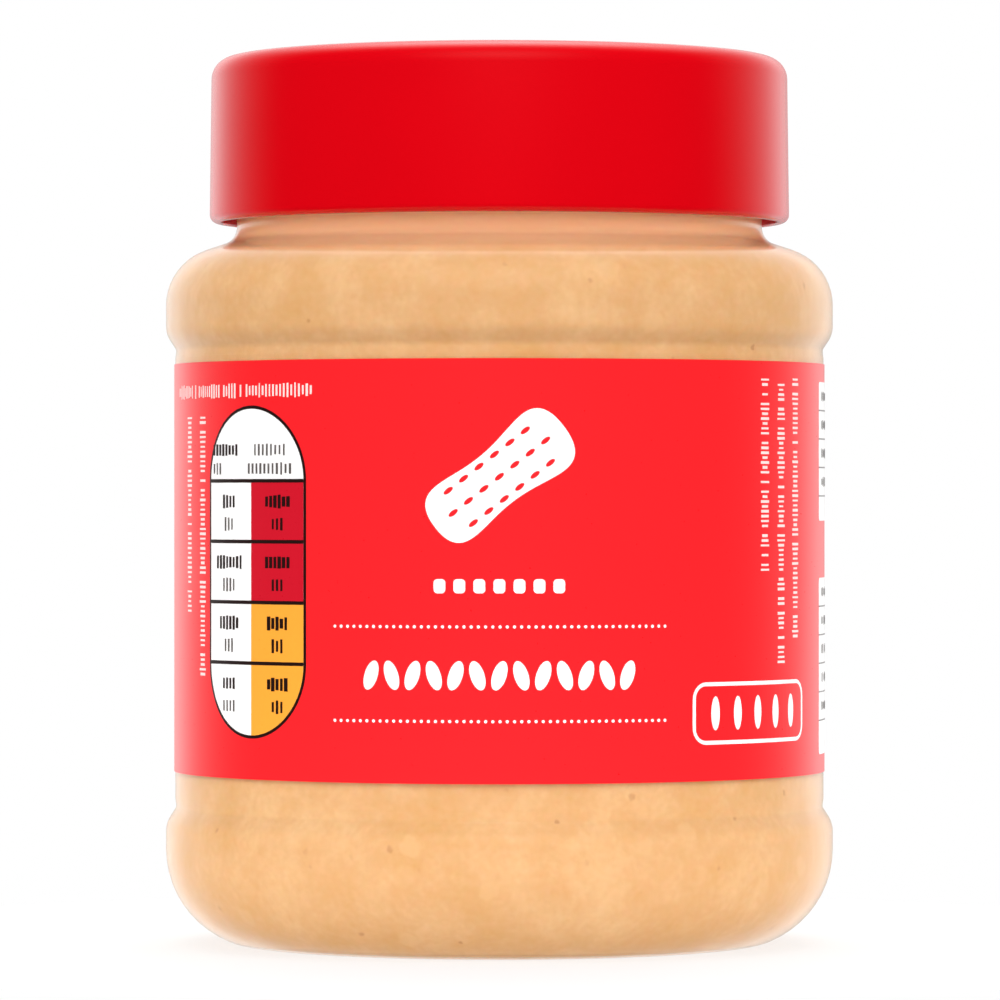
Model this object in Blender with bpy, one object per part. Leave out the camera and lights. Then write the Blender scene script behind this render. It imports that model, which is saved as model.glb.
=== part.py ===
"""Shut peanut butter jar: a clear blown plastic jar full of peanut butter, with a red screw lid and a red label.

Metres, +Z up. The origin is where the jar's axis meets the surface that it stands on. Every piece is turned
about that axis, from corner points (radius, height, rounding) that are worked out from the sizes below.
"""
import math

import bmesh
import bpy

MM = 0.001

# Turning. All pieces have the same sides, so that the gaps between them stay even all round.
SIDES = 52
ARC_STEP = math.radians(24.0)
MERGE_DISTANCE = 0.001 * MM
SHARP_ANGLE = math.radians(35.0)
TOUCHING_GAP = 0.3 * MM

# Jar: a bulge below and above the straight panel that carries the label, then a sloped shoulder and a neck.
BULGE_RADIUS = 36.62 * MM
BULGE_ROUNDING = 5.0 * MM
PANEL_RADIUS = 35.37 * MM
PANEL_ROUNDING = 3.0 * MM
PANEL_BOTTOM = 14.4 * MM
PANEL_TOP = 65.4 * MM
LOWER_BULGE_TOP = 12.3 * MM
UPPER_BULGE_BOTTOM = 67.7 * MM
FOOT_RADIUS = 28.95 * MM
FOOT_ROUNDING = 4.6 * MM
FOOT_INNER_RADIUS = 25.2 * MM
HEEL_HEIGHT = 3.1 * MM
HEEL_ROUNDING = 10.8 * MM
SHOULDER_HEIGHT = 74.25 * MM
SHOULDER_ROUNDING = 6.0 * MM
NECK_RADIUS = 28.85 * MM
NECK_BOTTOM = 76.75 * MM
NECK_ROUNDING = 2.2 * MM
RIM_HEIGHT = 95.5 * MM
RIM_ROUNDING = 0.4 * MM
JAR_WALL = 0.7 * MM
NECK_WALL = 1.4 * MM

# Base of the jar, pushed up inside the ring that it stands on.
PUSH_UP_HEIGHT = 2.2 * MM
PUSH_UP_RADIUS = 19.0 * MM
PUSH_UP_EDGE_HEIGHT = 1.9 * MM
PUSH_UP_ROUNDING = 12.0 * MM
FOOT_INNER_ROUNDING = 1.2 * MM

# Peanut butter: 340 g comes up to a level inside the neck, behind the lid.
FILL_LEVEL = 89.5 * MM

# Lid: a smooth cap that narrows a little towards its top.
LID_BOTTOM = 79.15 * MM
LID_TOP = 97.1 * MM
LID_BOTTOM_RADIUS = 31.85 * MM
LID_TOP_RADIUS = 31.62 * MM
LID_TOP_ROUNDING = 3.0 * MM
LID_EDGE_ROUNDING = 0.9 * MM
LID_WALL = 1.25 * MM
LID_INNER_ROUNDING = 1.6 * MM
STACKING_RADIUS = 27.6 * MM
STACKING_SLOPE = 0.8 * MM
STACKING_DEPTH = 0.4 * MM

# Label: a plastic film right round the panel.
LABEL_BOTTOM = 19.0 * MM
LABEL_TOP = 63.4 * MM
LABEL_RADIUS = 35.72 * MM
LABEL_THICKNESS = 0.2 * MM

# Colours as sRGB bytes.
CLEAR_PLASTIC = (240, 244, 242)
PEANUT = (226, 168, 106)
LID_RED = (222, 8, 20)
LABEL_RED = (246, 44, 50)


def linear(colour):
    """sRGB bytes as the linear colour, with alpha, that a shader takes."""
    parts = [value / 255.0 for value in colour]
    return tuple(c / 12.92 if c <= 0.04045 else ((c + 0.055) / 1.055) ** 2.4 for c in parts) + (1.0,)


def plastic(name, colour, roughness, transmission=0.0, ior=1.5, subsurface=0.0):
    """Principled material of one colour."""
    material = bpy.data.materials.new(name)
    material.use_nodes = True
    shader = material.node_tree.nodes["Principled BSDF"]
    shader.inputs["Base Color"].default_value = linear(colour)
    shader.inputs["Roughness"].default_value = roughness
    shader.inputs["Metallic"].default_value = 0.0
    shader.inputs["IOR"].default_value = ior
    shader.inputs["Transmission Weight"].default_value = transmission
    shader.inputs["Subsurface Weight"].default_value = subsurface
    return material


def direction(start, end):
    """Unit step from one corner to the next."""
    across = end[0] - start[0]
    up = end[1] - start[1]
    length = math.hypot(across, up)
    return across / length, up / length


def inset(corners, distance):
    """Corners of the line that runs at a distance inside an outline that goes outwards and up."""
    moved = []
    for index, (radius, height, rounding) in enumerate(corners):
        before = direction(corners[index - 1], corners[index]) if index > 0 else None
        after = direction(corners[index], corners[index + 1]) if index < len(corners) - 1 else None
        before = before or after
        after = after or before
        turn = before[0] * after[1] - before[1] * after[0]
        reach = distance / (1.0 + before[0] * after[0] + before[1] * after[1])
        inner_radius = radius - (before[1] + after[1]) * reach if radius > 0.0 else 0.0
        inner_height = height + (before[0] + after[0]) * reach
        if rounding > 0.0:
            rounding = max(rounding - math.copysign(distance, turn), TOUCHING_GAP)
        moved.append((inner_radius, inner_height, rounding))
    return moved


def rounded(corners):
    """Points of the line through the corners, each corner with a rounding replaced by its arc."""
    points = []
    for index, (radius, height, rounding) in enumerate(corners):
        if rounding == 0.0:
            points.append((radius, height))
            continue
        before = direction(corners[index - 1], corners[index])
        after = direction(corners[index], corners[index + 1])
        turn = math.atan2(before[0] * after[1] - before[1] * after[0], before[0] * after[0] + before[1] * after[1])
        cut = rounding * math.tan(abs(turn) / 2.0)
        side = math.copysign(rounding, turn)
        start = (radius - before[0] * cut, height - before[1] * cut)
        centre = (start[0] - before[1] * side, start[1] + before[0] * side)
        steps = max(1, math.ceil(abs(turn) / ARC_STEP))
        for step in range(steps + 1):
            angle = turn * step / steps
            across, up = start[0] - centre[0], start[1] - centre[1]
            points.append((centre[0] + across * math.cos(angle) - up * math.sin(angle),
                           centre[1] + across * math.sin(angle) + up * math.cos(angle)))
    return points


def turned(name, profile, material, closed=False):
    """Object spun about Z from a profile at +X, whose outer side runs from top to bottom."""
    mesh = bpy.data.meshes.new(name)
    work = bmesh.new()
    corners = [work.verts.new((radius, 0.0, height)) for radius, height in profile]
    lines = [work.edges.new(pair) for pair in zip(corners[:-1], corners[1:])]
    if closed:
        lines.append(work.edges.new((corners[-1], corners[0])))
    bmesh.ops.spin(work, geom=corners + lines, cent=(0.0, 0.0, 0.0), axis=(0.0, 0.0, 1.0), dvec=(0.0, 0.0, 0.0),
                   angle=2.0 * math.pi, steps=SIDES, use_merge=True, use_duplicate=False)
    bmesh.ops.remove_doubles(work, verts=work.verts[:], dist=MERGE_DISTANCE)
    bmesh.ops.recalc_face_normals(work, faces=work.faces[:])
    work.to_mesh(mesh)
    work.free()
    mesh.shade_smooth()
    mesh.set_sharp_from_angle(angle=SHARP_ANGLE)
    mesh.materials.append(material)
    piece = bpy.data.objects.new(name, mesh)
    bpy.context.scene.collection.objects.link(piece)
    return piece


def jar_outline():
    """Outside of the jar, from the middle of its base to the foot of its neck, as corners."""
    return [
        (0.0, PUSH_UP_HEIGHT, 0.0),
        (PUSH_UP_RADIUS, PUSH_UP_EDGE_HEIGHT, PUSH_UP_ROUNDING),
        (FOOT_INNER_RADIUS, 0.0, FOOT_INNER_ROUNDING),
        (FOOT_RADIUS, 0.0, FOOT_ROUNDING),
        (BULGE_RADIUS, HEEL_HEIGHT, HEEL_ROUNDING),
        (BULGE_RADIUS, LOWER_BULGE_TOP, BULGE_ROUNDING),
        (PANEL_RADIUS, PANEL_BOTTOM, PANEL_ROUNDING),
        (PANEL_RADIUS, PANEL_TOP, PANEL_ROUNDING),
        (BULGE_RADIUS, UPPER_BULGE_BOTTOM, BULGE_ROUNDING),
        (BULGE_RADIUS, SHOULDER_HEIGHT, SHOULDER_ROUNDING),
        (NECK_RADIUS, NECK_BOTTOM, NECK_ROUNDING),
        (NECK_RADIUS, RIM_HEIGHT, 0.0),
    ]


def inside_outline(distance, top):
    """The jar's outline moved inwards by a distance, with the neck's own wall, up to a height."""
    corners = inset(jar_outline(), distance)
    neck = NECK_RADIUS - NECK_WALL - (distance - JAR_WALL)
    foot_of_neck = corners[-2]
    return corners[:-2] + [(neck, foot_of_neck[1], foot_of_neck[2]), (neck, top, 0.0)]


def make_jar(material):
    """Hollow jar with an open mouth."""
    inside = inside_outline(JAR_WALL, RIM_HEIGHT)
    inner_rim = (inside[-1][0], RIM_HEIGHT, RIM_ROUNDING)
    outer_rim = (NECK_RADIUS, RIM_HEIGHT, RIM_ROUNDING)
    outside = jar_outline()[:-1]
    corners = inside[:-1] + [inner_rim, outer_rim] + outside[::-1]
    return turned("jar", rounded(corners), material)


def make_peanut_butter(material):
    """Filling up to its level, a gap clear of the wall all round."""
    side = inside_outline(JAR_WALL + TOUCHING_GAP, FILL_LEVEL)
    return turned("peanut_butter", rounded([(0.0, FILL_LEVEL, 0.0)] + side[::-1]), material)


def make_lid(material):
    """Cap with a hollow skirt that hangs round the neck, and a shallow recess on top to stack on."""
    slant = (LID_BOTTOM_RADIUS - LID_TOP_RADIUS) / (LID_TOP - LID_BOTTOM)
    ceiling = RIM_HEIGHT + TOUCHING_GAP
    inner_bottom = LID_BOTTOM_RADIUS - LID_WALL
    inner_top = inner_bottom - slant * (ceiling - LID_BOTTOM)
    corners = [
        (0.0, LID_TOP - STACKING_DEPTH, 0.0),
        (STACKING_RADIUS - STACKING_SLOPE, LID_TOP - STACKING_DEPTH, 0.0),
        (STACKING_RADIUS, LID_TOP, 0.0),
        (LID_TOP_RADIUS, LID_TOP, LID_TOP_ROUNDING),
        (LID_BOTTOM_RADIUS, LID_BOTTOM, LID_EDGE_ROUNDING),
        (inner_bottom, LID_BOTTOM, 0.0),
        (inner_top, ceiling, LID_INNER_ROUNDING),
        (0.0, ceiling, 0.0),
    ]
    return turned("lid", rounded(corners), material)


def make_label(material):
    """Film ring round the panel."""
    inner = LABEL_RADIUS - LABEL_THICKNESS
    corners = [(LABEL_RADIUS, LABEL_TOP), (LABEL_RADIUS, LABEL_BOTTOM), (inner, LABEL_BOTTOM), (inner, LABEL_TOP)]
    return turned("label", corners, material, closed=True)


def main():
    """Empty the scene and build the four pieces."""
    for item in list(bpy.data.objects):
        bpy.data.objects.remove(item, do_unlink=True)
    make_jar(plastic("clear_plastic", CLEAR_PLASTIC, 0.06, transmission=1.0, ior=1.57))
    make_peanut_butter(plastic("peanut_butter", PEANUT, 0.45, subsurface=0.2, ior=1.46))
    make_lid(plastic("red_lid_plastic", LID_RED, 0.35))
    make_label(plastic("red_label_film", LABEL_RED, 0.3))


main()
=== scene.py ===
"""Looks of a shut jar of peanut butter: clear jar, filling, screw lid, printed label, studio."""
import math

import bmesh
import bpy
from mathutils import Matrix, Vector


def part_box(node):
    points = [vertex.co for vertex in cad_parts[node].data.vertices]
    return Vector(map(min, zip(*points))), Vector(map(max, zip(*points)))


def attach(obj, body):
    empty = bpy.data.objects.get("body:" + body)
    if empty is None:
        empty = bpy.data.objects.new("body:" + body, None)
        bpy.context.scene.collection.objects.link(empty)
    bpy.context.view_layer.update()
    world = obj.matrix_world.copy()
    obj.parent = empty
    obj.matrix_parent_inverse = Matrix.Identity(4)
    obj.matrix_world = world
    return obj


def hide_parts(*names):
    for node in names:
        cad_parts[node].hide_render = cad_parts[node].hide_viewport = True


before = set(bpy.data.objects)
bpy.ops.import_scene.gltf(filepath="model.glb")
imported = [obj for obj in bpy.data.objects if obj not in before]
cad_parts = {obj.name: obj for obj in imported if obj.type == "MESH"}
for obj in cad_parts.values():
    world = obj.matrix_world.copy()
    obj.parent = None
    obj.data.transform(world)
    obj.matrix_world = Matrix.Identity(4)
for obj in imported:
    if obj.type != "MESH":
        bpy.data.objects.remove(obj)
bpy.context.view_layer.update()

bl_info = {
    "name": "Peanut butter jar",
    "version": (1, 0, 0),
    "blender": (4, 5, 0),
    "location": "3D View > Sidebar > Jar",
    "description": "Builds a shut jar of peanut butter with its lid, label and studio",
    "category": "Add Mesh",
}

MM = 0.001
BODY = "root"

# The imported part's boxes, which the heights and radii below start from.
JAR_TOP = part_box("jar")[1]
LID_LOW, LID_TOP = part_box("lid")
LABEL_LOW, LABEL_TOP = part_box("label")
FILLING_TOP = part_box("peanut_butter")[1]

# Turned pieces: sides round the axis, points in a rounding, and what counts as one point.
SIDES = 240
ROUNDING_POINTS = 10
MERGE_DISTANCE = 0.002 * MM
SHARP_ANGLE = math.radians(40.0)
LEAST_ROUNDING = 0.2 * MM

# The label's back, opposite the camera, as an angle round the axis from +X.
BACK = math.pi / 2.0

# Heights between which the paste is painted paler and redder towards the neck: painted light standing in for
# the lid's red glow and for the fill light that the lid's shade keeps from the neck.
PAINTED_NECK_LIGHT_LOW = 73.9 * MM
PAINTED_NECK_LIGHT_HIGH = 76.2 * MM


def linear(code):
    """sRGB hex such as "c81428" as linear red, green and blue."""
    parts = [int(code[place:place + 2], 16) / 255.0 for place in (0, 2, 4)]
    return [c / 12.92 if c <= 0.04045 else ((c + 0.055) / 1.055) ** 2.4 for c in parts]


def colour_prop(name, description, code):
    """Colour property with an sRGB hex default."""
    return bpy.props.FloatVectorProperty(
        name=name, description=description, subtype="COLOR", size=3, min=0.0, max=1.0, default=linear(code))


def length_prop(name, description, default):
    """Length property in metres."""
    return bpy.props.FloatProperty(
        name=name, description=description, default=default, min=0.0, unit="LENGTH", precision=5)


def number_prop(name, description, default):
    """Plain number property."""
    return bpy.props.FloatProperty(name=name, description=description, default=default, min=0.0)


class JarSizes(bpy.types.PropertyGroup):
    """Sizes of the jar, its filling and its lid."""

    bulge_radius: length_prop("Bulge radius", "Radius of the bulges below and above the label", JAR_TOP.x)
    panel_radius: length_prop("Panel radius", "Radius of the straight panel under the label", 35.6 * MM)
    panel_bottom: length_prop("Panel bottom", "Height of the corner below the panel", 14.9 * MM)
    panel_top: length_prop("Panel top", "Height of the corner above the panel", 65.0 * MM)
    bulge_low: length_prop("Lower bulge top", "Height of the corner above the lower bulge", 13.1 * MM)
    bulge_high: length_prop("Upper bulge bottom", "Height of the corner below the upper bulge", 66.7 * MM)
    foot_radius: length_prop("Foot radius", "Outer radius of the ring that the jar stands on", 29.2 * MM)
    foot_inner: length_prop("Foot inner radius", "Inner radius of the ring that the jar stands on", 25.2 * MM)
    heel_height: length_prop("Heel height", "Height of the corner between the base and the side", 3.1 * MM)
    shoulder_height: length_prop("Shoulder height", "Height of the shoulder's corner", 74.45 * MM)
    neck_radius: length_prop("Neck radius", "Outer radius of the neck", 28.85 * MM)
    neck_bottom: length_prop("Neck bottom", "Height of the corner at the foot of the neck", 77.05 * MM)
    crease_depth: length_prop("Crease depth", "Depth of the crease between panel and bulge", 0.12 * MM)
    crease_width: length_prop("Crease width", "Height of the crease's slope towards the panel", 0.9 * MM)
    crease_rounding: length_prop("Crease rounding", "Rounding of the crease", 0.7 * MM)
    bulge_rounding: length_prop("Bulge rounding", "Rounding of the bulges towards the panel", 3.0 * MM)
    shoulder_rounding: length_prop("Shoulder rounding", "Rounding of the shoulder", 6.3 * MM)
    neck_rounding: length_prop("Neck rounding", "Rounding of the foot of the neck", 2.0 * MM)
    push_up: length_prop("Push-up", "How far the middle of the base is pushed up", 2.2 * MM)
    push_up_radius: length_prop("Push-up radius", "Radius of the flat middle of the push-up", 19.0 * MM)
    wall: length_prop("Jar wall", "Thickness of the blown wall", 0.7 * MM)
    neck_wall: length_prop("Neck wall", "Thickness of the neck", 1.4 * MM)
    rim_height: length_prop("Rim height", "Height of the jar's rim", JAR_TOP.z)
    fill_level: length_prop("Fill level", "Height of the peanut butter's top", FILLING_TOP.z)
    sunk: length_prop("Sunk", "How far the filling reaches into the wall, to leave no air gap", 0.12 * MM)
    lid_bottom: length_prop("Lid bottom", "Height of the lid's lower edge", LID_LOW.z - 0.2 * MM)
    lid_top: length_prop("Lid top", "Height of the lid's top", LID_TOP.z)
    lid_radius: length_prop("Lid radius", "Radius of the lid at its lower edge", LID_TOP.x)
    lid_draft: length_prop("Lid draft", "How much narrower the lid is at its top", 0.23 * MM)
    lid_rounding: length_prop("Lid rounding", "Rounding of the lid's upper edge", 2.4 * MM)
    lid_edge: length_prop("Lid edge", "Rounding of the lid's lower edge", 0.9 * MM)
    lid_wall: length_prop("Lid wall", "Thickness of the lid's skirt", 1.25 * MM)
    stacking_radius: length_prop("Stacking radius", "Radius of the recess in the lid's top", 27.6 * MM)
    stacking_depth: length_prop("Stacking depth", "Depth of the recess in the lid's top", 0.4 * MM)


class LabelSizes(bpy.types.PropertyGroup):
    """Sizes of the label and its print. Places are lengths from its front, positive to the right."""

    bottom: length_prop("Label bottom", "Height of the label's lower edge", LABEL_LOW.z - 0.15 * MM)
    top: length_prop("Label top", "Height of the label's upper edge", LABEL_TOP.z)
    radius: length_prop("Label radius", "Radius of the label's face", LABEL_TOP.x)
    film: length_prop("Film", "Thickness of the label film", 0.08 * MM)
    overlap: length_prop("Overlap", "How far the label's end laps over its start", 7.0 * MM)
    ink: length_prop("Ink", "Step between one printed layer and the next", 0.02 * MM)
    table_left: length_prop("Table place", "How far left of the front the table's middle is", 29.65 * MM)
    table_width: length_prop("Table width", "Width of the upright table with round ends", 15.9 * MM)
    table_bottom: length_prop("Table bottom", "Height of the table's lower end", 23.2 * MM)
    table_top: length_prop("Table top", "Height of the table's upper end", 58.6 * MM)
    table_outline: length_prop("Table outline", "Width of the dark line round the table", 0.34 * MM)
    first_line: length_prop("First line", "Height of the table's uppermost line", 50.6 * MM)
    cell_height: length_prop("Cell height", "Height of each cell below that line", 6.46 * MM)
    emblem_length: length_prop("Emblem length", "Length of the pod shape on the front", 17.2 * MM)
    emblem_height: length_prop("Emblem height", "Height of the middle of the pod shape", 51.0 * MM)
    dots_left: length_prop("Dots' left end", "How far left of the front the dotted lines start", 18.05 * MM)
    dots_pitch: length_prop("Dot pitch", "Distance from one dot to the next", 0.755 * MM)
    dots_high: length_prop("Upper dotted line", "Height of the upper dotted line", 35.3 * MM)
    dots_low: length_prop("Lower dotted line", "Height of the lower dotted line", 25.4 * MM)


class JarColours(bpy.types.PropertyGroup):
    """Colours of the materials."""

    plastic: colour_prop("Clear plastic", "Tint of the clear plastic", "fcfdfc")
    paste: colour_prop("Peanut butter", "Body of the peanut butter", "deae7c")
    paste_light: colour_prop("Light paste", "Paler patches of the peanut butter", "e6bb8a")
    paste_dark: colour_prop("Dark paste", "Darker patches of the peanut butter", "d9a76d")
    # Paler, redder paste under the lid is painted light: it stands in for the lid's red glow and the fill
    # light that the lid's shade keeps out.
    paste_neck: colour_prop("Paste in the neck", "Peanut butter under the lid, warmed by the red", "f9c093")
    fleck: colour_prop("Flecks", "Bits of skin in the peanut butter", "a3643a")
    lid: colour_prop("Lid", "Red of the moulded lid", "d20411")
    label: colour_prop("Label", "Red of the label film", "f4242a")
    ink_white: colour_prop("White ink", "White print", "faf8f7")
    ink_soft: colour_prop("Soft white ink", "Small white print, which lets some red through", "fbdcd8")
    ink_black: colour_prop("Black ink", "Black print", "221312")
    ink_grey: colour_prop("Grey ink", "Small print on the white cells", "5c5654")
    ink_red: colour_prop("Deep red ink", "Deep red cells of the table", "c8182a")
    ink_amber: colour_prop("Amber ink", "Amber cells of the table", "fba43a")
    floor: colour_prop("Floor", "Floor that the jar stands on", "848484")


class JarStudio(bpy.types.PropertyGroup):
    """Camera and lights."""

    camera_distance: length_prop("Camera distance", "Distance from the camera to the jar's axis", 712.8 * MM)
    camera_height: length_prop("Camera height", "Height of the camera", 48.88 * MM)
    camera_right: length_prop("Camera right", "How far right of the axis the camera stands", 0.066 * MM)
    horizon_row: number_prop("Horizon row", "Row of the image that is level with the camera", 497.0)
    focal_pixels: number_prop("Focal length", "Focal length in pixels of the image", 6480.0)
    image_pixels: number_prop("Image size", "Side of the square image in pixels", 1000.0)
    surroundings: number_prop("Surroundings", "Brightness that the studio's bright side tends to", 1.9)
    brightest: number_prop("Brightest", "Most that the bright side reaches", 1.25)
    straight_behind: number_prop("Straight behind", "Brightness straight behind, which the edges mirror", 0.6)
    overhead: number_prop("Overhead", "Brightness above, which the lid's upper edge mirrors", 4.6)
    front_above: number_prop("Front above", "Brightness above the camera, which the shoulder mirrors", 0.5)
    bright_side: bpy.props.FloatProperty(
        name="Bright side", description="Turn of the bright side to the right of straight behind the jar",
        default=math.radians(3.5), unit="ROTATION")
    left_power: number_prop("Left light", "Power of the light at the front left in watts", 4.3)
    right_power: number_prop("Right light", "Power of the light at the front right in watts", 4.3)
    front_power: number_prop("Front light", "Power of the front light in watts", 4.8)
    top_power: number_prop("Top light", "Power of the overhead light in watts", 3.6)
    floor_glow: number_prop("Floor glow", "Light that comes up through the floor", 0.74)
    floor_radius: length_prop("Floor radius", "Radius of the pale floor", 85.0 * MM)


def settings():
    """The four groups of settings on the scene: jar, label, colours, studio."""
    scene = bpy.context.scene
    return scene.jar_sizes, scene.jar_label, scene.jar_colours, scene.jar_studio


# Node trees

def add(tree, kind, inputs=None, **properties):
    """Add a node, set its properties, and give inputs a value each, or a link from a socket or a node."""
    node = tree.nodes.new(kind)
    for name, value in properties.items():
        setattr(node, name, value)
    for name, given in (inputs or {}).items():
        if isinstance(given, bpy.types.Node):
            given = given.outputs[0]
        if isinstance(given, bpy.types.NodeSocket):
            tree.links.new(given, node.inputs[name])
        else:
            node.inputs[name].default_value = given
    return node


def new_geometry_tree(name, inputs):
    """New geometry tree with the named inputs, and what its input node gives."""
    tree = bpy.data.node_groups.new(name, "GeometryNodeTree")
    tree.interface.new_socket("Geometry", in_out="OUTPUT", socket_type="NodeSocketGeometry")
    for socket_name, socket_type in [("Geometry", "Geometry")] + inputs:
        tree.interface.new_socket(socket_name, in_out="INPUT", socket_type="NodeSocket" + socket_type)
    return tree, tree.nodes.new("NodeGroupInput").outputs


def finish_geometry_tree(tree, geometry, material):
    """End a geometry tree: realize the instances, set the material, output."""
    realized = add(tree, "GeometryNodeRealizeInstances", {"Geometry": geometry})
    painted = add(tree, "GeometryNodeSetMaterial", {"Geometry": realized, "Material": material})
    add(tree, "NodeGroupOutput", {"Geometry": painted})
    return tree


def turning_tree():
    """Turns a line of rounded corners about Z. Between two angles the line may climb outwards."""
    tree, given = new_geometry_tree("Turned piece", [
        ("Sides", "Int"), ("Rounding points", "Int"), ("Start", "Float"), ("Turn", "Float"),
        ("Climb", "Float"), ("Climb from", "Float"), ("Climb to", "Float"), ("Merge distance", "Float"),
        ("Material", "Material")])
    line = add(tree, "GeometryNodeMeshToCurve", {"Mesh": given["Geometry"]})
    rounding = add(tree, "GeometryNodeInputNamedAttribute", {"Name": "rounding"}, data_type="FLOAT")
    fillet = add(tree, "GeometryNodeFilletCurve", {
        "Curve": line, "Radius": rounding.outputs["Attribute"], "Count": given["Rounding points"]},
        mode="POLY")
    size = add(tree, "GeometryNodeAttributeDomainSize", {"Geometry": fillet}, component="CURVE")
    points = size.outputs["Point Count"]
    columns = add(tree, "ShaderNodeMath", {0: given["Sides"], 1: 1.0}, operation="ADD")
    grid = add(tree, "GeometryNodeMeshGrid", {"Vertices X": columns, "Vertices Y": points})
    index = add(tree, "GeometryNodeInputIndex")
    split = add(tree, "ShaderNodeMath", {0: index, 1: points}, operation="DIVIDE")
    column = add(tree, "ShaderNodeMath", {0: split}, operation="FLOOR")
    row = add(tree, "ShaderNodeMath", {0: index, 1: points}, operation="MODULO")
    place = add(tree, "GeometryNodeInputPosition")
    corner = add(tree, "GeometryNodeSampleIndex", {"Geometry": fillet, "Value": place, "Index": row},
                 data_type="FLOAT_VECTOR", domain="POINT")
    share = add(tree, "ShaderNodeMath", {0: column, 1: given["Sides"]}, operation="DIVIDE")
    swept = add(tree, "ShaderNodeMath", {0: share, 1: given["Turn"]}, operation="MULTIPLY")
    angle = add(tree, "ShaderNodeMath", {0: swept, 1: given["Start"]}, operation="ADD")
    climb = add(tree, "ShaderNodeMapRange", {
        "Value": swept, "From Min": given["Climb from"], "From Max": given["Climb to"],
        "To Max": given["Climb"]}, interpolation_type="SMOOTHSTEP")
    outwards = add(tree, "ShaderNodeCombineXYZ", {"X": climb})
    lifted = add(tree, "ShaderNodeVectorMath", {0: corner, 1: outwards}, operation="ADD")
    swung = add(tree, "ShaderNodeVectorRotate", {"Vector": lifted, "Angle": angle}, rotation_type="Z_AXIS")
    moved = add(tree, "GeometryNodeSetPosition", {"Geometry": grid, "Position": swung})
    merged = add(tree, "GeometryNodeMergeByDistance", {
        "Geometry": moved, "Distance": given["Merge distance"]})
    return finish_geometry_tree(tree, merged, given["Material"])


def printing_tree():
    """Repeats a flat mark in a row of uneven sizes, leaves some out, and wraps the row round the label."""
    tree, given = new_geometry_tree("Printed row", [
        ("Count", "Int"), ("Start", "Vector"), ("Step", "Vector"), ("Least", "Vector"), ("Most", "Vector"),
        ("Gaps", "Float"), ("Seed", "Int"), ("Tilt", "Float"), ("Radius", "Float"),
        ("Material", "Material")])
    row = add(tree, "GeometryNodeMeshLine", {
        "Count": given["Count"], "Start Location": given["Start"], "Offset": given["Step"]})
    chance = add(tree, "FunctionNodeRandomValue", {"Seed": given["Seed"]}, data_type="FLOAT")
    left_out = add(tree, "FunctionNodeCompare", {0: chance.outputs[1], 1: given["Gaps"]},
                   data_type="FLOAT", operation="LESS_THAN")
    kept = add(tree, "GeometryNodeDeleteGeometry", {"Geometry": row, "Selection": left_out}, domain="POINT")
    size = add(tree, "FunctionNodeRandomValue", {
        0: given["Least"], 1: given["Most"], "Seed": given["Seed"]}, data_type="FLOAT_VECTOR")
    turn = add(tree, "ShaderNodeCombineXYZ", {"Y": given["Tilt"]})
    marks = add(tree, "GeometryNodeInstanceOnPoints", {
        "Points": kept, "Instance": given["Geometry"], "Rotation": turn, "Scale": size})
    flat = add(tree, "GeometryNodeRealizeInstances", {"Geometry": marks})
    place = add(tree, "GeometryNodeInputPosition")
    parts = add(tree, "ShaderNodeSeparateXYZ", {0: place})
    angle = add(tree, "ShaderNodeMath", {0: parts.outputs["X"], 1: given["Radius"]}, operation="DIVIDE")
    reach = add(tree, "ShaderNodeMath", {0: parts.outputs["Y"], 1: given["Radius"]}, operation="SUBTRACT")
    upright = add(tree, "ShaderNodeCombineXYZ", {"Y": reach, "Z": parts.outputs["Z"]})
    wrapped = add(tree, "ShaderNodeVectorRotate", {"Vector": upright, "Angle": angle}, rotation_type="Z_AXIS")
    moved = add(tree, "GeometryNodeSetPosition", {"Geometry": flat, "Position": wrapped})
    return finish_geometry_tree(tree, moved, given["Material"])


def new_object(name, data):
    """New object in the scene."""
    item = bpy.data.objects.new(name, data)
    bpy.context.scene.collection.objects.link(item)
    return item


def new_mesh(name, work):
    """New mesh from a bmesh, which ends there."""
    mesh = bpy.data.meshes.new(name)
    work.to_mesh(mesh)
    work.free()
    return mesh


def run_tree(name, mesh, make_tree, values):
    """A plain mesh from a mesh that has gone through a geometry tree with these inputs."""
    tree_name = make_tree.__name__
    tree = bpy.data.node_groups.get(tree_name)
    if tree is None:
        tree = make_tree()
        tree.name = tree_name
    source = new_object(name + "_source", mesh)
    modifier = source.modifiers.new("Geometry", "NODES")
    modifier.node_group = tree
    sockets = {item.name: item.identifier for item in tree.interface.items_tree if item.in_out == "INPUT"}
    for socket_name, value in values.items():
        modifier[sockets[socket_name]] = value
    evaluated = source.evaluated_get(bpy.context.evaluated_depsgraph_get())
    result = bpy.data.meshes.new_from_object(evaluated)
    bpy.data.objects.remove(source)
    bpy.data.meshes.remove(mesh)
    result.name = name
    return result


def put(name, mesh, node=None):
    """Object for a finished mesh, riding on the jar's body, in place of a CAD node if one is named."""
    piece = new_object(name, mesh)
    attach(piece, BODY)
    if node:
        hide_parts(node)
    return piece


# Turned pieces

def direction(start, end):
    """Unit step from one corner to the next."""
    across = end[0] - start[0]
    up = end[1] - start[1]
    length = math.hypot(across, up)
    return across / length, up / length


def inset(corners, distance):
    """Corners of the line that runs at a distance inside an outline that goes outwards and up."""
    moved = []
    for index, (radius, height, rounding) in enumerate(corners):
        before = direction(corners[index - 1], corners[index]) if index > 0 else None
        after = direction(corners[index], corners[index + 1]) if index < len(corners) - 1 else None
        before = before or after
        after = after or before
        turn = before[0] * after[1] - before[1] * after[0]
        reach = distance / (1.0 + before[0] * after[0] + before[1] * after[1])
        inner_radius = radius - (before[1] + after[1]) * reach if radius > 0.0 else 0.0
        inner_height = height + (before[0] + after[0]) * reach
        if rounding > 0.0:
            rounding = max(rounding - math.copysign(distance, turn), LEAST_ROUNDING)
        moved.append((inner_radius, inner_height, rounding))
    return moved


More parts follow.
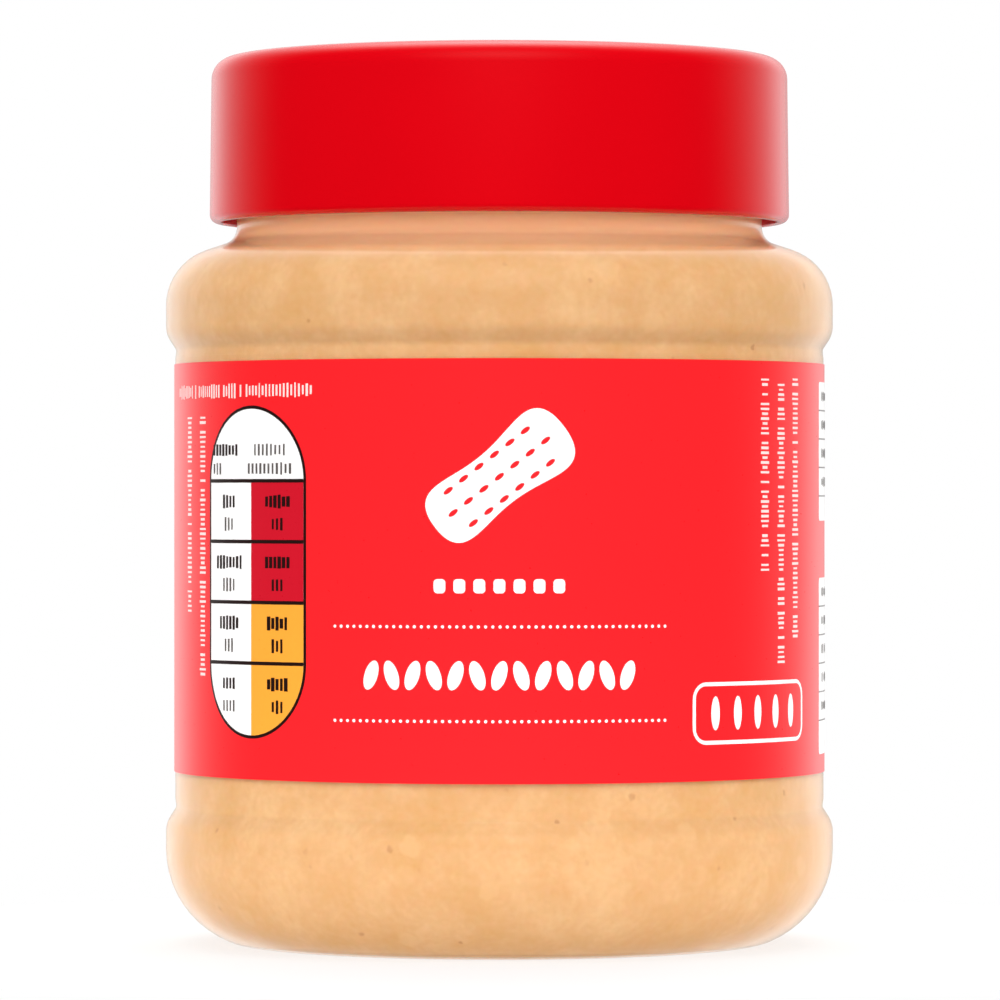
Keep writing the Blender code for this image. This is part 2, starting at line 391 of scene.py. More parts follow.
# Small sizes of the jar and the lid that are no settings.
PUSH_UP_DROP = 0.3 * MM
PUSH_UP_ROUNDING = 12.0 * MM
FOOT_INNER_ROUNDING = 1.2 * MM
FOOT_ROUNDING = 4.6 * MM
HEEL_ROUNDING = 10.8 * MM
RIM_ROUNDING = 0.4 * MM
RIM_TO_LID = 0.3 * MM
RECESS_SLOPE = 0.8 * MM
RECESS_FLOOR_ROUNDING = 0.6 * MM
RECESS_EDGE_ROUNDING = 0.5 * MM
SKIRT_ROUNDING = 0.2 * MM
CEILING_ROUNDING = 1.6 * MM


def jar_outline(sizes):
    """Outside of the jar from the middle of its base to its rim, as corners (radius, height, rounding)."""
    crease = sizes.panel_radius - sizes.crease_depth
    return [
        (0.0, sizes.push_up, 0.0),
        (sizes.push_up_radius, sizes.push_up - PUSH_UP_DROP, PUSH_UP_ROUNDING),
        (sizes.foot_inner, 0.0, FOOT_INNER_ROUNDING),
        (sizes.foot_radius, 0.0, FOOT_ROUNDING),
        (sizes.bulge_radius, sizes.heel_height, HEEL_ROUNDING),
        (sizes.bulge_radius, sizes.bulge_low, sizes.bulge_rounding),
        (crease, sizes.panel_bottom, sizes.crease_rounding),
        (sizes.panel_radius, sizes.panel_bottom + sizes.crease_width, sizes.crease_rounding),
        (sizes.panel_radius, sizes.panel_top - sizes.crease_width, sizes.crease_rounding),
        (crease, sizes.panel_top, sizes.crease_rounding),
        (sizes.bulge_radius, sizes.bulge_high, sizes.bulge_rounding),
        (sizes.bulge_radius, sizes.shoulder_height, sizes.shoulder_rounding),
        (sizes.neck_radius, sizes.neck_bottom, sizes.neck_rounding),
        (sizes.neck_radius, sizes.rim_height, 0.0),
    ]


def inside_outline(sizes, distance, top):
    """The jar's outline moved inwards by a distance, with the neck's own wall, up to a height."""
    corners = inset(jar_outline(sizes), distance)
    neck = sizes.neck_radius - sizes.neck_wall - (distance - sizes.wall)
    foot_of_neck = corners[-2]
    return corners[:-2] + [(neck, foot_of_neck[1], foot_of_neck[2]), (neck, top, 0.0)]


def turned(name, corners, material, turn=math.tau, start=0.0, climb=0.0, climb_from=0.0, climb_to=1.0):
    """Closed mesh turned about Z from corners (radius, height, rounding)."""
    line = bpy.data.meshes.new(name + "_line")
    steps = [(place, place + 1) for place in range(len(corners) - 1)]
    line.from_pydata([(radius, 0.0, height) for radius, height, _ in corners], steps, [])
    rounding = line.attributes.new("rounding", "FLOAT", "POINT")
    rounding.data.foreach_set("value", [corner[2] for corner in corners])
    mesh = run_tree(name, line, turning_tree, {
        "Sides": SIDES, "Rounding points": ROUNDING_POINTS, "Start": start, "Turn": turn,
        "Climb": climb, "Climb from": climb_from, "Climb to": climb_to,
        "Merge distance": MERGE_DISTANCE, "Material": material})
    work = bmesh.new()
    work.from_mesh(mesh)
    bmesh.ops.dissolve_degenerate(work, dist=MERGE_DISTANCE / 2.0, edges=work.edges[:])
    open_edges = [edge for edge in work.edges if edge.is_boundary]
    if open_edges:
        bmesh.ops.holes_fill(work, edges=open_edges, sides=0)
    bmesh.ops.recalc_face_normals(work, faces=work.faces[:])
    if any(not edge.is_manifold for edge in work.edges):
        raise RuntimeError(name + " isn't closed")
    work.to_mesh(mesh)
    work.free()
    mesh.shade_smooth()
    mesh.set_sharp_from_angle(angle=SHARP_ANGLE)
    return mesh


# Flat marks for the print: closed plates in X and Z, their back at Y 0 and their face towards -Y. They are
# one unit thick, and the printing tree scales them to the thickness of the ink.

ROUND_STEPS = 7
TABLE_END_STEPS = 40
POD_STEPS = 44
POD_ROWS = 10
PLATE_STEP = 0.8 * MM
WORD_GAPS = 0.16
ROUND_OFF = 1e-6
SLIVER = 1e-9


def plate(columns, rows=1):
    """Closed plate from columns (x, bottom, top) that go left to right, cut into rows where it is tilted."""
    work = bmesh.new()
    rings = []
    for x, bottom, top in columns:
        heights = [bottom + (top - bottom) * row / rows for row in range(rows + 1)]
        places = [(-1.0, height) for height in heights] + [(0.0, height) for height in heights[::-1]]
        rings.append([work.verts.new((x, y, height)) for y, height in places])
    corners = len(rings[0])
    for ring, following in zip(rings[:-1], rings[1:]):
        for corner in range(corners):
            after = (corner + 1) % corners
            work.faces.new((ring[corner], following[corner], following[after], ring[after]))
    work.faces.new(rings[0])
    work.faces.new(rings[-1][::-1])
    bmesh.ops.remove_doubles(work, verts=work.verts[:], dist=MERGE_DISTANCE / 4.0)
    bmesh.ops.dissolve_degenerate(work, dist=MERGE_DISTANCE / 8.0, edges=work.edges[:])
    bmesh.ops.recalc_face_normals(work, faces=work.faces[:])
    return new_mesh("mark", work)


def steps_between(low, high, longest):
    """Even steps from low to high, none longer than longest."""
    count = max(1, math.ceil((high - low) / longest - ROUND_OFF))
    return [low + (high - low) * step / count for step in range(count + 1)]


def bar(width, height, rounding=0.0):
    """Plate with rounded corners and its middle at the origin."""
    rounding = min(rounding, width / 2.0, height / 2.0)
    straight = width / 2.0 - rounding
    columns = []
    if straight > 0.0:
        columns = [(x, height / 2.0) for x in steps_between(-straight, straight, PLATE_STEP)]
    for step in range(ROUND_STEPS if rounding > 0.0 else 0):
        angle = math.pi / 2.0 * step / ROUND_STEPS
        reach = straight + rounding * math.cos(angle)
        half = height / 2.0 - rounding * (1.0 - math.sin(angle))
        columns += [(-reach, half), (reach, half)]
    return plate([(x, -half, half) for x, half in sorted(columns)])


def pod(length):
    """Plate in the outline of a peanut pod: two lobes and a waist, the right lobe a little fuller."""
    fullness, waist, lobes, lean, bluntness = 0.285, 0.60, 0.72, 0.07, 0.42
    columns = []
    for step in range(POD_STEPS + 1):
        place = -math.cos(math.pi * step / POD_STEPS)
        end = max(0.0, 1.0 - place * place) ** bluntness
        half = fullness * length * end * (waist + lobes * place * place + lean * place)
        columns.append((place * length / 2.0, -half, half))
    return plate(columns, POD_ROWS)


def lens(width, height):
    """Plate with an oval outline."""
    columns = []
    for step in range(2 * ROUND_STEPS + 1):
        angle = math.pi * step / (2 * ROUND_STEPS)
        half = height / 2.0 * math.sin(angle)
        columns.append((-width / 2.0 * math.cos(angle), -half, half))
    return plate(columns)


def table_part(label, left, right, low, high, margin):
    """Plate for a part of the upright table, cut off by its round ends. Its origin is the table's middle."""
    radius = label.table_width / 2.0 - margin
    straight = (label.table_top - label.table_bottom) / 2.0 - label.table_width / 2.0
    angles = [math.pi * step / TABLE_END_STEPS for step in range(TABLE_END_STEPS + 1)]
    places = {-radius * math.cos(angle) for angle in angles} | {left, right}
    columns = []
    for x in sorted(places):
        if left - SLIVER <= x <= right + SLIVER and abs(x) <= radius:
            end = straight + math.sqrt(max(0.0, radius * radius - x * x))
            bottom, top = max(low, -end), min(high, end)
            if top >= bottom:
                columns.append((x, bottom, top))
    return plate(columns)


class Printer:
    """Prints marks on the label in one ink: a row of a mark at a time, gathered into one mesh."""

    def __init__(self, label, ink, colour, layer):
        self.label = label
        self.material = varnished_film(ink, colour)
        self.layer = layer
        self.work = bmesh.new()

    def row(self, mark, place, height, count=1, step=(0.0, 0.0), least=(1.0, 1.0), most=(1.0, 1.0),
            gaps=0.0, seed=0, tilt=0.0):
        """Print count marks from a place round the label and a height on, a step apart."""
        ink = self.label.ink
        mesh = run_tree("row", mark, printing_tree, {
            "Count": count, "Start": (place, 0.0, height), "Step": (step[0], 0.0, step[1]),
            "Least": (least[0], ink, least[1]), "Most": (most[0], ink, most[1]), "Gaps": gaps, "Seed": seed,
            "Tilt": tilt, "Radius": self.label.radius + (self.layer - 1) * ink, "Material": self.material})
        self.work.from_mesh(mesh)
        bpy.data.meshes.remove(mesh)

    def paragraph(self, width, height, left, right, lines, step, seed):
        """Print lines of small uneven strokes between two places, with gaps as between words."""
        for number, line in enumerate(lines):
            self.row(bar(width, height), left, line, int((right - left) / step), (step, 0.0),
                     least=(0.8, 0.6), most=(1.3, 1.1), gaps=WORD_GAPS, seed=seed + number)

    def finish(self, name):
        """Put the gathered marks in the scene as one piece."""
        mesh = new_mesh(name, self.work)
        mesh.materials.append(self.material)
        return put(name, mesh)


# Materials

WHITE = (1.0, 1.0, 1.0, 1.0)


def per_mm(size):
    """Texture scale for features of a size in millimetres, on coordinates in metres."""
    return 1.0 / (size * MM)


def rgba(colour):
    """Colour with full alpha for a shader socket."""
    return (*colour, 1.0)


def new_material(name):
    """New material, its tree and the object coordinates in it."""
    material = bpy.data.materials.new(name)
    material.use_nodes = True
    tree = material.node_tree
    tree.nodes.clear()
    return material, tree, add(tree, "ShaderNodeTexCoord").outputs["Object"]


def finish_material(material, shader):
    """End a material's tree with its shader."""
    add(material.node_tree, "ShaderNodeOutputMaterial", {"Surface": shader})
    return material


def around(tree, noise, middle, spread):
    """Value that a noise moves from a spread below the middle to a spread above it."""
    return add(tree, "ShaderNodeMapRange", {
        "Value": noise, "To Min": middle - spread, "To Max": middle + spread})


def uneven(tree, noise, colour, spread):
    """Colour that a noise makes lighter and darker by a spread."""
    lightness = around(tree, noise, 1.0, spread)
    return add(tree, "ShaderNodeHueSaturation", {"Color": rgba(colour), "Value": lightness})


def blown_polyester(colours):
    """PET, stretch-blown in a polished mould: clear, with faint slow waves. Lamps reach what is behind it."""
    material, tree, place = new_material("blown_polyester")
    waves = add(tree, "ShaderNodeTexNoise", {"Scale": per_mm(11.0), "Detail": 1.0, "Vector": place})
    bump = add(tree, "ShaderNodeBump", {"Strength": 0.5, "Distance": 0.06 * MM, "Height": waves})
    wall = add(tree, "ShaderNodeBsdfPrincipled", {
        "Base Color": rgba(colours.plastic), "Roughness": 0.18, "IOR": 1.575, "Transmission Weight": 1.0,
        "Normal": bump})
    passed = add(tree, "ShaderNodeBsdfTransparent")
    rays = add(tree, "ShaderNodeLightPath")
    straight = add(tree, "ShaderNodeMath", {
        0: rays.outputs["Is Shadow Ray"], 1: rays.outputs["Is Diffuse Ray"]}, operation="MAXIMUM")
    mixed = add(tree, "ShaderNodeMixShader", {0: straight, 1: wall, 2: passed})
    return finish_material(material, mixed)


def nut_paste(colours):
    """Roasted peanuts ground to a paste against the wall: cloudy tan, fine grain, bits of nut and skin; paler
    and redder in the neck, which is painted light.
    """
    material, tree, place = new_material("nut_paste")
    clouds = add(tree, "ShaderNodeTexNoise", {
        "Scale": per_mm(6.0), "Detail": 3.0, "Roughness": 0.6, "Vector": place})
    grain = add(tree, "ShaderNodeTexNoise", {"Scale": per_mm(0.8), "Detail": 2.0, "Vector": place})
    both = add(tree, "ShaderNodeMath", {0: grain, 1: 0.45, 2: clouds}, operation="MULTIPLY_ADD")
    tone = add(tree, "ShaderNodeValToRGB", {"Fac": both})
    ramp = tone.color_ramp.elements
    ramp[0].position, ramp[0].color = 0.42, rgba(colours.paste_dark)
    ramp[1].position, ramp[1].color = 1.0, rgba(colours.paste_light)
    ramp.new(0.72).color = rgba(colours.paste)
    wobble = add(tree, "ShaderNodeTexNoise", {"Scale": per_mm(1.5), "Vector": place})
    bent = add(tree, "ShaderNodeVectorMath", {0: wobble.outputs["Color"], 1: (1.4 * MM,) * 3, 2: place},
               operation="MULTIPLY_ADD")

    # Bits of nut, then of skin, each in the middle of a cell whose random colour says whether it has one.
    colour = tone.outputs["Color"]
    for size, outer, inner, channel, least, most, strength, bits in (
            (4.2, 0.34, 0.22, "X", 0.6, 0.95, 0.55, colours.paste_light),
            (2.4, 0.17, 0.07, "Y", 0.7, 1.0, 0.42, colours.fleck)):
        cells = add(tree, "ShaderNodeTexVoronoi", {"Scale": per_mm(size), "Vector": bent})
        edge = add(tree, "ShaderNodeMapRange", {
            "Value": cells.outputs["Distance"], "From Min": outer, "From Max": inner},
            interpolation_type="SMOOTHSTEP")
        pick = add(tree, "ShaderNodeSeparateXYZ", {0: cells.outputs["Color"]})
        some = add(tree, "ShaderNodeMapRange", {
            "Value": pick.outputs[channel], "From Min": least, "From Max": most, "To Max": strength})
        share = add(tree, "ShaderNodeMath", {0: edge, 1: some}, operation="MULTIPLY")
        mixed = add(tree, "ShaderNodeMix", {"Factor": share, "A": colour, "B": rgba(bits)}, data_type="RGBA")
        colour = mixed.outputs["Result"]

    # Painted light: towards the neck the paste is mixed into a paler, redder colour, standing in for the
    # lid's red glow and the fill light under the lid.
    level = add(tree, "ShaderNodeSeparateXYZ", {0: place})
    painted_light_share = add(tree, "ShaderNodeMapRange", {
        "Value": level.outputs["Z"], "From Min": PAINTED_NECK_LIGHT_LOW, "From Max": PAINTED_NECK_LIGHT_HIGH},
        interpolation_type="SMOOTHSTEP")
    painted_neck_light = add(tree, "ShaderNodeMix", {"Factor": painted_light_share, "A": colour, "B": rgba(colours.paste_neck)},
               data_type="RGBA")
    bump = add(tree, "ShaderNodeBump", {"Strength": 0.4, "Distance": 0.05 * MM, "Height": clouds})
    paste = add(tree, "ShaderNodeBsdfPrincipled", {
        "Base Color": painted_neck_light.outputs["Result"], "Roughness": 0.5, "IOR": 1.1, "Subsurface Weight": 0.6,
        "Subsurface Radius": (1.0, 0.55, 0.3), "Subsurface Scale": 1.0 * MM, "Normal": bump})
    return finish_material(material, paste)


def moulded_polypropylene(colours):
    """Polypropylene, injection-moulded in a blasted mould: even deep red, satin, a faint orange peel."""
    material, tree, place = new_material("moulded_polypropylene")
    flow = add(tree, "ShaderNodeTexNoise", {"Scale": per_mm(18.0), "Detail": 2.0, "Vector": place})
    peel = add(tree, "ShaderNodeTexNoise", {"Scale": per_mm(0.6), "Detail": 1.0, "Vector": place})
    bump = add(tree, "ShaderNodeBump", {"Strength": 0.25, "Distance": 0.01 * MM, "Height": peel})
    plastic = add(tree, "ShaderNodeBsdfPrincipled", {
        "Base Color": uneven(tree, flow, colours.lid, 0.04), "Roughness": around(tree, flow, 0.2, 0.04),
        "IOR": 1.45, "Normal": bump})
    return finish_material(material, plastic)


def varnished_film(name, colour):
    """Polypropylene film, printed and varnished: even ink with a fine grain under a satin gloss."""
    material, tree, place = new_material(name)
    ink = add(tree, "ShaderNodeTexNoise", {"Scale": per_mm(0.35), "Detail": 2.0, "Vector": place})
    film = add(tree, "ShaderNodeBsdfPrincipled", {
        "Base Color": uneven(tree, ink, colour, 0.025), "Roughness": around(tree, ink, 0.28, 0.012),
        "IOR": 1.49})
    return finish_material(material, film)


def lit_acrylic(colours, glow):
    """Opal acrylic top of a light table, sanded matt: pale, faintly cloudy, lit from below."""
    material, tree, place = new_material("lit_acrylic")
    clouds = add(tree, "ShaderNodeTexNoise", {"Scale": per_mm(1.2), "Detail": 3.0, "Vector": place})
    acrylic = add(tree, "ShaderNodeBsdfPrincipled", {
        "Base Color": uneven(tree, clouds, colours.floor, 0.015), "Roughness": 0.9,
        "Specular IOR Level": 0.1, "Emission Color": WHITE, "Emission Strength": glow})
    return finish_material(material, acrylic)


# Operators

class JAR_OT_clear_jar(bpy.types.Operator):
    """Build the hollow clear jar"""

    bl_idname = "jar.clear_jar"
    bl_label = "Clear jar"

    def execute(self, context):
        sizes, _, colours, _ = settings()
        inside = inside_outline(sizes, sizes.wall, sizes.rim_height)
        rim = [(radius, sizes.rim_height, RIM_ROUNDING) for radius in (inside[-1][0], sizes.neck_radius)]
        corners = inside[:-1] + rim + jar_outline(sizes)[-2::-1]
        put("clear_jar", turned("clear_jar", corners, blown_polyester(colours)), "jar")
        return {"FINISHED"}


class JAR_OT_filling(bpy.types.Operator):
    """Fill the jar with peanut butter that touches the wall all over"""

    bl_idname = "jar.filling"
    bl_label = "Peanut butter"

    def execute(self, context):
        sizes, _, colours, _ = settings()
        side = inside_outline(sizes, sizes.wall - sizes.sunk, sizes.fill_level)
        mesh = turned("nut_filling", side + [(0.0, sizes.fill_level, 0.0)], nut_paste(colours))
        put("nut_filling", mesh, "peanut_butter")
        return {"FINISHED"}


class JAR_OT_lid(bpy.types.Operator):
    """Build the moulded screw lid"""

    bl_idname = "jar.lid"
    bl_label = "Lid"

    def execute(self, context):
        sizes, _, colours, _ = settings()
        ceiling = sizes.rim_height + RIM_TO_LID
        top_radius = sizes.lid_radius - sizes.lid_draft
        recess = sizes.lid_top - sizes.stacking_depth
        corners = [
            (0.0, recess, 0.0),
            (sizes.stacking_radius - RECESS_SLOPE, recess, RECESS_FLOOR_ROUNDING),
            (sizes.stacking_radius, sizes.lid_top, RECESS_EDGE_ROUNDING),
            (top_radius, sizes.lid_top, sizes.lid_rounding),
            (sizes.lid_radius, sizes.lid_bottom, sizes.lid_edge),
            (sizes.lid_radius - sizes.lid_wall, sizes.lid_bottom, SKIRT_ROUNDING),
            (top_radius - sizes.lid_wall, ceiling, CEILING_ROUNDING),
            (0.0, ceiling, 0.0),
        ]
        mesh = turned("screw_lid", corners, moulded_polypropylene(colours))
        put("screw_lid", mesh, "lid")
        return {"FINISHED"}


# The label's end climbs over its start: the glue between them, and how far before the lap it starts and ends.
GLUE = 0.01 * MM
CLIMB_START = 2.5 * MM
CLIMB_END = 0.3 * MM


class JAR_OT_label(bpy.types.Operator):
    """Wrap the label film round the panel, its end lapped over its start at the back"""

    bl_idname = "jar.label"
    bl_label = "Label film"

    def execute(self, context):
        _, label, colours, _ = settings()
        inner = label.radius - label.film
        corners = [(inner, label.bottom, 0.0), (label.radius, label.bottom, 0.0),
                   (label.radius, label.top, 0.0), (inner, label.top, 0.0), (inner, label.bottom, 0.0)]
        overlap = label.overlap / label.radius
        mesh = turned("label_film", corners, varnished_film("red_film", colours.label),
                      turn=math.tau + overlap, start=BACK - overlap / 2.0, climb=label.film + GLUE,
                      climb_from=math.tau - CLIMB_START / label.radius,
                      climb_to=math.tau - CLIMB_END / label.radius)
        put("label_film", mesh, "label")
        return {"FINISHED"}


class JAR_OT_print_table(bpy.types.Operator):
    """Print the upright table with round ends: outline, cells, lines and small marks"""

    bl_idname = "jar.print_table"
    bl_label = "Print: table"

    def execute(self, context):
        _, label, colours, _ = settings()
        middle = (label.table_bottom + label.table_top) / 2.0
        half = label.table_width / 2.0
        margin = label.table_outline
        inner = half - margin
        end = label.table_top - middle
        line = 0.38 * MM
        lines = [label.first_line - middle - row * label.cell_height for row in range(4)] + [-end]
        place = -label.table_left

        outline = Printer(label, "black_outline_ink", colours.ink_black, 1)
        outline.row(table_part(label, -half, half, -end, end, 0.0), place, middle)
        outline.finish("table_outline")
        field = Printer(label, "white_field_ink", colours.ink_white, 2)
        field.row(table_part(label, -inner, inner, -end, end, margin), place, middle)
        field.finish("table_field")
        red = Printer(label, "deep_red_ink", colours.ink_red, 3)
        amber = Printer(label, "amber_ink", colours.ink_amber, 3)
        for ink, high, low in zip((red, red, amber, amber), lines[:-1], lines[1:]):
            ink.row(table_part(label, 0.0, inner, low, high, margin), place, middle)
        red.finish("table_red_cells")
        amber.finish("table_amber_cells")

        dark = Printer(label, "black_ink", colours.ink_black, 4)
        for height in lines[:-1]:
            rule = table_part(label, -inner, inner, height - line / 2.0, height + line / 2.0, margin)
            dark.row(rule, place, middle)
        grey = Printer(label, "grey_ink", colours.ink_grey, 4)
        stroke_step, cell_stroke, head_stroke = 0.62 * MM, 1.5 * MM, 1.35 * MM
        upper, lower = 2.2 * MM, 4.6 * MM
        uneven_sizes = {"least": (0.8, 0.7), "most": (1.2, 1.0)}

        # Two rows of strokes in each cell: ink, number of strokes, side, how far down, and width in mm.
        for row, (left, right) in enumerate(((4, 6), (8, 6), (6, 5), (4, 5))):
            for ink, count, side, down, width in (
                    (dark, left, -1, upper, 0.34), (grey, 3 + row % 2, -1, lower, 0.24),
                    (dark, right, 1, upper, 0.44), (dark, 3, 1, lower, 0.30)):
                start = place + side * half / 2.0 - (count - 1) * stroke_step / 2.0
                ink.row(bar(width * MM, cell_stroke), start, middle + lines[row] - down, count,
                        (stroke_step, 0.0), seed=row + 10 * side, **uneven_sizes)

        # Two rows above the cells: ink, number of strokes, then left end, height and width in mm.
        for ink, count, left, height, width in (
                (dark, 8, -6.9, 53.9, 0.40), (grey, 8, 0.6, 53.9, 0.24),
                (grey, 3, -6.9, 51.9, 0.24), (grey, 11, -0.4, 51.9, 0.26)):
            ink.row(bar(width * MM, head_stroke), place + left * MM, height * MM, count, (stroke_step, 0.0),
                    seed=count, **uneven_sizes)
        dark.finish("table_lines")
        grey.finish("table_small_marks")
        return {"FINISHED"}


class JAR_OT_print_front(bpy.types.Operator):
    """Print the front: pod emblem, dotted lines and the strip of kernels between them"""

    bl_idname = "jar.print_front"
    bl_label = "Print: front"

    def execute(self, context):
        _, label, colours, _ = settings()
        tilt = math.radians(-38.0)
        white = Printer(label, "white_ink", colours.ink_white, 1)
        white.row(pod(label.emblem_length), 0.0, label.emblem_height, tilt=tilt)

        dimples = Printer(label, "red_ink", colours.label, 2)
        along = (math.cos(tilt), -math.sin(tilt))
        across = (-along[1], along[0])
        dimple_step, lane_step = 2.05 * MM, 2.15 * MM
        for lane, count in ((-1, 6), (0, 7), (1, 6)):
            middle = (across[0] * lane * lane_step, across[1] * lane * lane_step)
            first = (count - 1) / 2.0 * dimple_step
            dimples.row(lens(1.15 * MM, 0.5 * MM), middle[0] - along[0] * first,
                        label.emblem_height + middle[1] - along[1] * first, count,
                        (along[0] * dimple_step, along[1] * dimple_step), tilt=tilt)
        dimples.finish("emblem_dimples")

        squares, square_step, square_height = 7, 2.1 * MM, 39.55 * MM
        white.row(bar(1.25 * MM, 1.5 * MM, 0.4 * MM), -(squares - 1) / 2.0 * square_step, square_height,
                  squares, (square_step, 0.0))
        dot = 0.34 * MM
        dots = round(2.0 * label.dots_left / label.dots_pitch) + 1
        for height in (label.dots_high, label.dots_low):
            white.row(lens(dot, dot), -label.dots_left, height, dots, (label.dots_pitch, 0.0))
        kernels, kernel_step, kernel_height = 13, 2.3 * MM, 30.2 * MM
        for first, lean in ((0, math.radians(18.0)), (1, math.radians(-18.0))):
            white.row(lens(1.5 * MM, 3.2 * MM), (first - (kernels - 1) / 2.0) * kernel_step, kernel_height,
                      (kernels + 1 - first) // 2, (2.0 * kernel_step, 0.0), tilt=lean)
        white.finish("front_print")
        return {"FINISHED"}


# Print on the sides and the back, in mm, with places from the label's front. Rows of small strokes that run
# down the side: (place, top, bottom). Columns of rows at the back: (left, right, number of rows, seed).
# White fields: (left, right, bottom, top).
UPRIGHT_ROWS = ((-39.4, 57.4, 29.2), (-43.3, 57.4, 35.6), (32.7, 61.4, 40.6), (35.9, 61.4, 30.9),
                (39.2, 61.5, 33.5))
BACK_COLUMNS = ((84.0, 106.0, 15, 20), (-106.0, -84.0, 15, 40), (-80.0, -56.0, 8, 60))
WHITE_FIELDS = ((47.6, 78.0, 46.3, 61.4), (47.6, 78.0, 20.9, 40.1), (-80.0, -60.0, 21.5, 34.0))
TOP_LINE = 57.0
LINE_PITCH = 2.4
RULE_PITCH = 3.1
RULES_END = 1.0


class JAR_OT_print_sides(bpy.types.Operator):
    """Print the sides and the back: small strokes, a thin frame, and white panels with dark strokes"""

    bl_idname = "jar.print_sides"
    bl_label = "Print: sides"

    def execute(self, context):
        _, label, colours, _ = settings()
        white = Printer(label, "white_small_ink", colours.ink_soft, 1)
        step, thin, tall = 0.52 * MM, 0.24 * MM, 1.45 * MM
        for place, top, bottom in UPRIGHT_ROWS:
            white.row(bar(tall, thin), place * MM, top * MM, round((top - bottom) * MM / step), (0.0, -step),
                      least=(0.6, 0.8), most=(1.1, 1.3), gaps=WORD_GAPS, seed=round(top - bottom))
        white.paragraph(thin, tall, -47.6 * MM, -20.2 * MM, (60.2 * MM,), step, 5)
        for left, right, count, seed in BACK_COLUMNS:
            lines = [(TOP_LINE - LINE_PITCH * line) * MM for line in range(count)]
            white.paragraph(thin, tall, left * MM, right * MM, lines, step, seed)

        panel = Printer(label, "white_panel_ink", colours.ink_white, 1)
        dark = Printer(label, "dark_small_ink", colours.ink_grey, 2)
        for left, right, bottom, top in WHITE_FIELDS:
            width, middle, height = (right - left) * MM, (left + right) / 2.0 * MM, (bottom + top) / 2.0 * MM
            panel.row(bar(width, (top - bottom) * MM, 0.5 * MM), middle, height)
            if left > 0.0:
                count = int((top - bottom - RULES_END) / RULE_PITCH)
                rules = [(top - RULE_PITCH * (rule + 1)) * MM for rule in range(count)]
                for rule in rules:
                    dark.row(bar(width, 0.15 * MM), middle, rule)
                lines = [rule + RULE_PITCH / 2.0 * MM for rule in rules]
                indent = 1.6
                dark.paragraph(0.14 * MM, 1.0 * MM, (left + indent) * MM, (right - indent) * MM, lines, step,
                               round(top))
            else:
                strokes, stroke_step, edge, first = 20, 0.85 * MM, 1.5, 2.0
                dark.row(bar(0.42 * MM, (top - bottom - 2.0 * edge) * MM), (left + first) * MM, height,
                         strokes, (stroke_step, 0.0), least=(0.4, 1.0), most=(1.5, 1.0), seed=3)

        # The small rounded frame at the lower right of the front, and the kernels in it.
        middle, height, line = 31.4 * MM, 26.0 * MM, 0.42 * MM
        width, tallness = 19.4 * MM, 6.6 * MM
        panel.row(bar(width, tallness, 1.8 * MM), middle, height)
        red = Printer(label, "red_frame_ink", colours.label, 2)
        red.row(bar(width - 2.0 * line, tallness - 2.0 * line, 1.3 * MM), middle, height)
        marks = Printer(label, "white_frame_ink", colours.ink_white, 3)
        kernels, kernel_step = 5, 3.3 * MM
        marks.row(lens(1.2 * MM, 3.6 * MM), middle - (kernels - 1) / 2.0 * kernel_step, height, kernels,
                  (kernel_step, 0.0))
        white.finish("side_print")
        panel.finish("white_panels")
        dark.finish("dark_print")
        red.finish("frame_field")
        marks.finish("frame_marks")
        return {"FINISHED"}


# Each soft light's place and width in metres.
LIGHTS = {
    "left": ((-0.56, -0.36, 0.18), 0.6),
    "right": ((0.56, -0.36, 0.18), 0.6),
    "front": ((0.0, -1.0, 0.12), 1.2),
    "top": ((0.0, 0.05, 1.0), 1.4),
}
FLOOR_SIDES = 96
SENSOR_WIDTH = 36.0

# Bright patches of the surroundings: where they are, how sharply they end, how flat the one at the back is,
# and how near straight behind (as a cosine) it starts to darken.
OVERHEAD = (0.0, 0.42, 0.907)
FRONT_ABOVE = (0.0, -0.766, 0.643)
PATCH_SHARPNESS = 14.0
BACK_SHARPNESS = 2.0
BACK_SQUEEZE = 1.8
BEHIND_FROM = 0.93


class JAR_OT_studio(bpy.types.Operator):
    """Set up the pale floor, the soft lights, the surroundings and the camera"""

    bl_idname = "jar.studio"
    bl_label = "Studio"

    def execute(self, context):
        _, _, colours, studio = settings()
        work = bmesh.new()
        bmesh.ops.create_circle(work, cap_ends=True, segments=FLOOR_SIDES, radius=studio.floor_radius)
        mesh = new_mesh("floor", work)
        mesh.materials.append(lit_acrylic(colours, studio.floor_glow))
        floor = new_object("floor", mesh)
        floor.visible_glossy = False
        for side, (place, width) in LIGHTS.items():
            soft_light(side + "_light", place, getattr(studio, side + "_power"), width, studio.camera_height)
        surroundings(studio)
        camera = bpy.data.cameras.new("camera")
        camera.sensor_width = SENSOR_WIDTH
        camera.lens = studio.focal_pixels / studio.image_pixels * camera.sensor_width
        camera.shift_y = (studio.horizon_row - studio.image_pixels / 2.0) / studio.image_pixels
        camera.clip_start = 0.01
        stand = new_object("camera", camera)
        stand.location = (studio.camera_right, -studio.camera_distance, studio.camera_height)
        stand.rotation_euler = (math.pi / 2.0, 0.0, 0.0)
        context.scene.camera = stand
        context.scene.view_settings.view_transform = "Standard"
        return {"FINISHED"}


def soft_light(name, place, power, width, aim):
    """Square soft light aimed at a height on the jar's axis, out of sight of the camera and of the gloss."""
    lamp = bpy.data.lights.new(name, "AREA")
    lamp.energy = power
    lamp.size = width
    lamp.cycles.use_multiple_importance_sampling = False
    holder = new_object(name, lamp)
    holder.location = place
    to_jar = Vector((0.0, 0.0, aim)) - Vector(place)
    holder.rotation_euler = to_jar.to_track_quat("-Z", "Y").to_euler()
    holder.visible_camera = holder.visible_glossy = holder.visible_transmission = False


